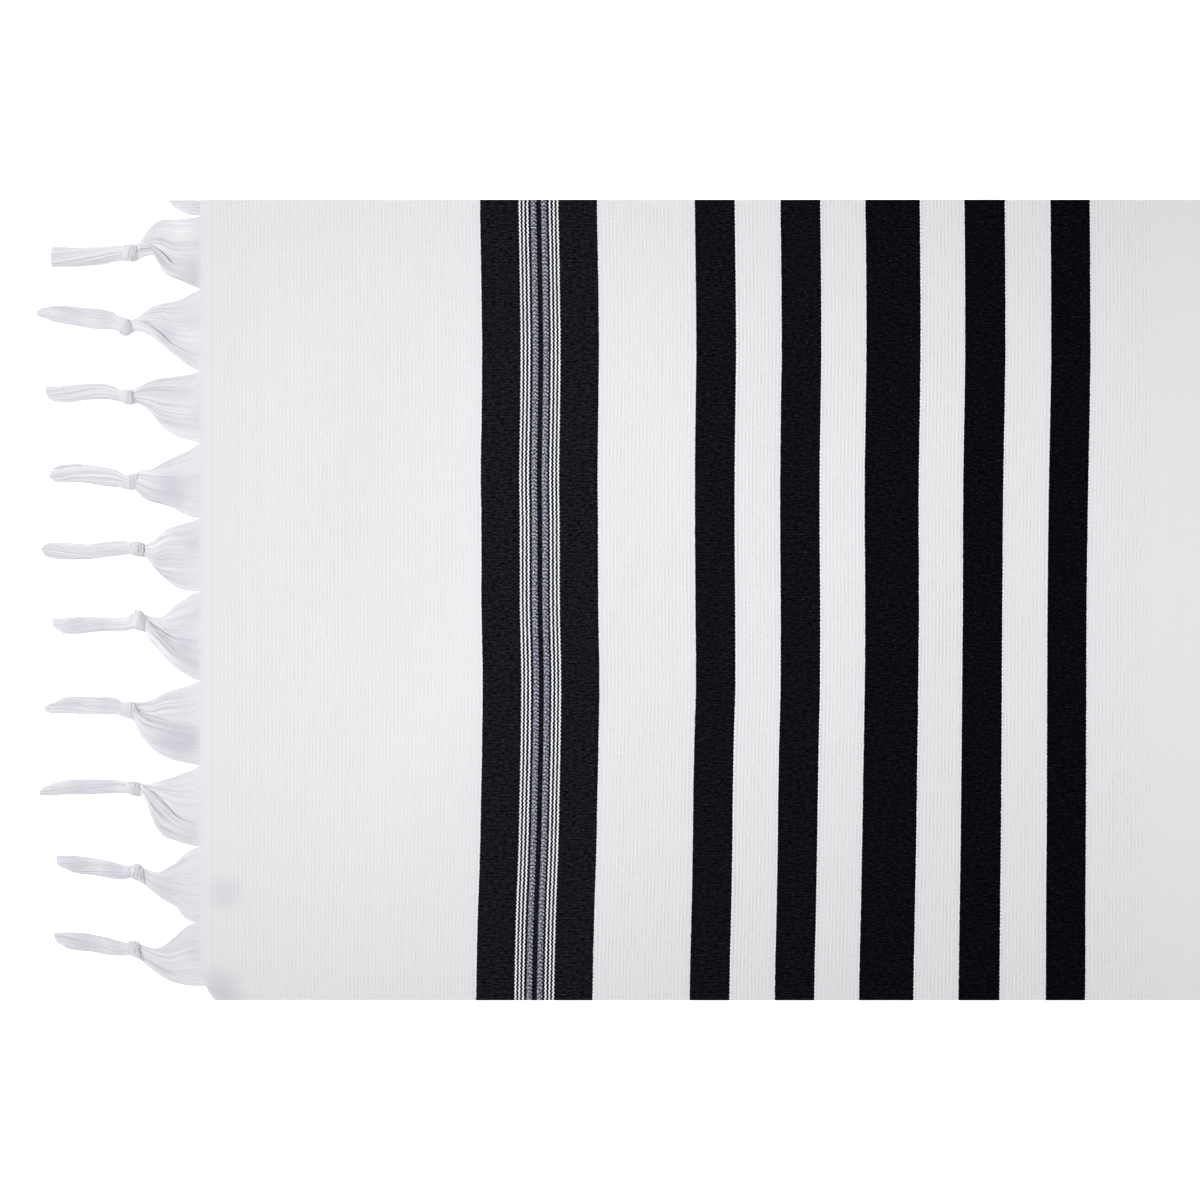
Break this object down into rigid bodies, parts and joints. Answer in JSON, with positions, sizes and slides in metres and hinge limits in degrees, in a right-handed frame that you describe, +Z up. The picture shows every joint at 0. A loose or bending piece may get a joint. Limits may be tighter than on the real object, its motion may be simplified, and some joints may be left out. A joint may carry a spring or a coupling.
{
  "type": "tallit prayer shawl",
  "caption": "White woven prayer shawl lying flat, with black stripes across it near each end and a fringe of knotted tassels at both ends.",
  "frame": {"origin": "on the surface that the shawl lies on, under the middle of its bounding box", "axes": "+X runs along the shawl from one fringe to the other, +Y across it from selvedge to selvedge, +Z up from the surface"},
  "size_m": [1.8, 0.45, 0.008],
  "materials": {
    "woven_cloth": "matt white ribbed weave with woven black stripes",
    "tassel_thread": "soft white thread, slightly lavender in its shade"
  },
  "bodies": {
    "root": {"cloth": "woven_cloth", "tassel_left_01": "tassel_thread", "tassel_left_02": "tassel_thread", "tassel_left_03": "tassel_thread", "tassel_left_04": "tassel_thread", "tassel_left_05": "tassel_thread", "tassel_left_06": "tassel_thread", "tassel_left_07": "tassel_thread", "tassel_left_08": "tassel_thread", "tassel_left_09": "tassel_thread", "tassel_left_10": "tassel_thread", "tassel_right_01": "tassel_thread", "tassel_right_02": "tassel_thread", "tassel_right_03": "tassel_thread", "tassel_right_04": "tassel_thread", "tassel_right_05": "tassel_thread", "tassel_right_06": "tassel_thread", "tassel_right_07": "tassel_thread", "tassel_right_08": "tassel_thread", "tassel_right_09": "tassel_thread", "tassel_right_10": "tassel_thread", "wisp_left": "tassel_thread", "wisp_right": "tassel_thread"}
  },
  "joints": []
}
